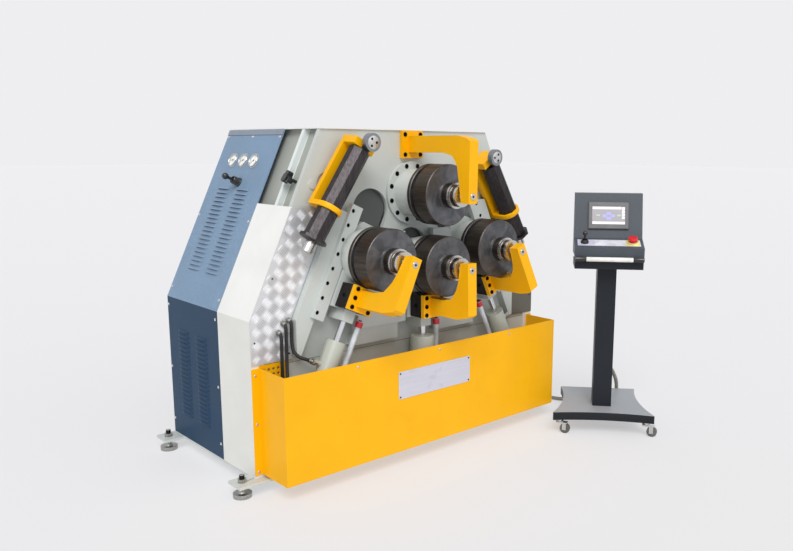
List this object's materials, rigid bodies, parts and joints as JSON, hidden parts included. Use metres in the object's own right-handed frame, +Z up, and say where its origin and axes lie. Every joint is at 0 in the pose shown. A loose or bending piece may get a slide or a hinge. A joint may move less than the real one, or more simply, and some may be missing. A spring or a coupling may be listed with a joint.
{
  "type": "angle roll bender",
  "caption": "Vertical-face section bending machine with driven rolls on hydraulic slides, bolt-on outboard arms, side guides, chip tray and a wheeled operator console on a cable.",
  "frame": {"origin": "middle of the footprint of machine and console, on the floor", "axes": "+X along the machine toward the console end, +Y from the roll side to the rear cabinet, +Z up"},
  "size_m": [2.151, 1.5085, 1.473],
  "materials": {
    "cream_paint": "satin cream paint",
    "white_paint": "satin white paint",
    "zinc_steel": "bright zinc plate",
    "tread_aluminium": "five-bar tread plate",
    "dark_powder_coat": "textured anthracite powder coat",
    "yellow_paint": "gloss amber yellow paint",
    "instrument": "dial with bright bezel",
    "sensor_white": "white tube with red cap",
    "hose_rubber": "matt rubber",
    "black_plastic": "satin black",
    "black_steel": "blackened steel",
    "roller_steel": "turned steel",
    "shaft_steel": "ground steel",
    "roll_steel": "dark hardened steel",
    "rod_chrome": "hard chrome",
    "handle_white": "silver tube",
    "cable_grey": "smooth grey sheath",
    "stop_red": "gloss red",
    "castor_black": "black tread"
  },
  "bodies": {
    "machine": {"base_frame": "cream_paint", "levelling_feet": "zinc_steel", "front_plate": "cream_paint", "rib_plate": "cream_paint", "slide_ways": "cream_paint", "frame_covers": "white_paint", "tread_plates": "tread_aluminium", "rear_panel": "dark_powder_coat", "cabinet_panels": "dark_powder_coat", "front_tray": "yellow_paint", "panel_instruments": "instrument", "lift_cylinders": "cream_paint", "position_sensors": "sensor_white", "hydraulic_hoses": "hose_rubber", "guide_brackets": "yellow_paint", "top_bearing": "cream_paint", "top_arm": "yellow_paint", "power_unit": "dark_powder_coat", "console_base": "dark_powder_coat", "console_column": "dark_powder_coat", "console_head": "dark_powder_coat", "console_screen": "black_plastic", "console_handle": "handle_white", "console_cable": "cable_grey"},
    "left_slide": {"left_carriage": "cream_paint", "left_arm_block": "black_steel", "left_arm": "yellow_paint", "left_rod": "rod_chrome"},
    "left_spindle": {"left_shaft": "shaft_steel", "left_roll": "roll_steel"},
    "centre_slide": {"centre_carriage": "cream_paint", "centre_arm_block": "black_steel", "centre_arm": "yellow_paint", "centre_rod": "rod_chrome"},
    "centre_spindle": {"centre_shaft": "shaft_steel", "centre_roll": "roll_steel"},
    "right_slide": {"right_carriage": "cream_paint", "right_arm_block": "black_steel", "right_arm": "yellow_paint", "right_rod": "rod_chrome"},
    "right_spindle": {"right_shaft": "shaft_steel", "right_roll": "roll_steel"},
    "top_spindle": {"top_shaft": "shaft_steel", "top_roll": "roll_steel"},
    "left_guide": {"left_guide_bar": "black_steel"},
    "left_guide_wheel": {"left_guide_roller": "roller_steel"},
    "right_guide": {"right_guide_bar": "black_steel"},
    "right_guide_wheel": {"right_guide_roller": "roller_steel"},
    "lever": {"valve_lever": "black_plastic"},
    "knob": {"clamp_knob": "black_plastic"},
    "stick": {"joystick": "black_plastic"},
    "stop": {"stop_button": "stop_red"},
    "castor_1": {"fork_1": "zinc_steel"},
    "castor_wheel_1": {"wheel_1": "castor_black"},
    "castor_2": {"fork_2": "zinc_steel"},
    "castor_wheel_2": {"wheel_2": "castor_black"},
    "castor_3": {"fork_3": "zinc_steel"},
    "castor_wheel_3": {"wheel_3": "castor_black"},
    "castor_4": {"fork_4": "zinc_steel"},
    "castor_wheel_4": {"wheel_4": "castor_black"}
  },
  "joints": [
    {"name": "left_lift", "type": "slide", "parent": "machine", "child": "left_slide", "axis": [0.4226, 0, 0.9063], "range_m": [-0.06, 0.15]},
    {"name": "left_turn", "type": "hinge", "parent": "left_slide", "child": "left_spindle", "pos_m": [-0.46454, -0.20089, 0.937], "axis": [0, 1, 0], "continuous": true},
    {"name": "centre_lift", "type": "slide", "parent": "machine", "child": "centre_slide", "axis": [0, 0, 1], "range_m": [-0.03, 0.04]},
    {"name": "centre_turn", "type": "hinge", "parent": "centre_slide", "child": "centre_spindle", "pos_m": [-0.14954, -0.20089, 0.883], "axis": [0, 1, 0], "continuous": true},
    {"name": "right_lift", "type": "slide", "parent": "machine", "child": "right_slide", "axis": [-0.4226, 0, 0.9063], "range_m": [-0.06, 0.15]},
    {"name": "right_turn", "type": "hinge", "parent": "right_slide", "child": "right_spindle", "pos_m": [0.16546, -0.20089, 0.937], "axis": [0, 1, 0], "continuous": true},
    {"name": "top_turn", "type": "hinge", "parent": "machine", "child": "top_spindle", "pos_m": [-0.14954, -0.20089, 1.194], "axis": [0, 1, 0], "continuous": true},
    {"name": "left_guide_set", "type": "slide", "parent": "machine", "child": "left_guide", "axis": [0.5367, -0.0454, 0.8425], "range_m": [-0.08, 0.005]},
    {"name": "left_guide_spin", "type": "hinge", "parent": "left_guide", "child": "left_guide_wheel", "pos_m": [-0.4891, -0.1147, 1.41655], "axis": [0.0244, 0.999, 0.0383], "continuous": true},
    {"name": "right_guide_set", "type": "slide", "parent": "machine", "child": "right_guide", "axis": [-0.5367, -0.0454, 0.8425], "range_m": [-0.08, 0.005]},
    {"name": "right_guide_spin", "type": "hinge", "parent": "right_guide", "child": "right_guide_wheel", "pos_m": [0.23028, -0.1113, 1.35336], "axis": [-0.0244, 0.999, 0.0383], "continuous": true},
    {"name": "lever_tilt", "type": "hinge", "parent": "machine", "child": "lever", "pos_m": [-0.75726, 0.48611, 1.24544], "axis": [0, 1, 0], "range_deg": [-18, 18], "stiffness_Nm_per_rad": 15},
    {"name": "knob_turn", "type": "hinge", "parent": "machine", "child": "knob", "pos_m": [-0.72645, 0.07411, 1.26417], "axis": [-0.9063, 0, 0.4226], "continuous": true},
    {"name": "stick_tilt", "type": "hinge", "parent": "machine", "child": "stick", "pos_m": [0.60575, -0.41572, 0.94987], "axis": [0.6534, -0.757, 0], "range_deg": [-14, 14], "stiffness_Nm_per_rad": 2},
    {"name": "stop_press", "type": "slide", "parent": "machine", "child": "stop", "axis": [-0.2295, -0.1981, 0.9529], "range_m": [-0.0045, 0], "stiffness_N_per_m": 2000},
    {"name": "castor_1_swivel", "type": "hinge", "parent": "machine", "child": "castor_1", "pos_m": [0.49465, -0.3848, 0], "axis": [0, 0, 1], "continuous": true},
    {"name": "castor_1_roll", "type": "hinge", "parent": "castor_1", "child": "castor_wheel_1", "pos_m": [0.50684, -0.41001, 0.025], "axis": [0.9003, 0.4352, 0], "continuous": true},
    {"name": "castor_2_swivel", "type": "hinge", "parent": "machine", "child": "castor_2", "pos_m": [0.7717, -0.70577, 0], "axis": [0, 0, 1], "continuous": true},
    {"name": "castor_2_roll", "type": "hinge", "parent": "castor_2", "child": "castor_wheel_2", "pos_m": [0.78389, -0.73098, 0.025], "axis": [0.9003, 0.4352, 0], "continuous": true},
    {"name": "castor_3_swivel", "type": "hinge", "parent": "machine", "child": "castor_3", "pos_m": [0.81223, -0.16352, 0], "axis": [0, 0, 1], "continuous": true},
    {"name": "castor_3_roll", "type": "hinge", "parent": "castor_3", "child": "castor_wheel_3", "pos_m": [0.82442, -0.18873, 0.025], "axis": [0.9003, 0.4352, 0], "continuous": true},
    {"name": "castor_4_swivel", "type": "hinge", "parent": "machine", "child": "castor_4", "pos_m": [1.037, -0.42392, 0], "axis": [0, 0, 1], "continuous": true},
    {"name": "castor_4_roll", "type": "hinge", "parent": "castor_4", "child": "castor_wheel_4", "pos_m": [1.04919, -0.44913, 0.025], "axis": [0.9003, 0.4352, 0], "continuous": true}
  ],
  "couplings": [
    {"joint": "left_turn", "follows": "top_turn", "ratio": -1},
    {"joint": "centre_turn", "follows": "top_turn", "ratio": -1},
    {"joint": "right_turn", "follows": "top_turn", "ratio": -1}
  ]
}
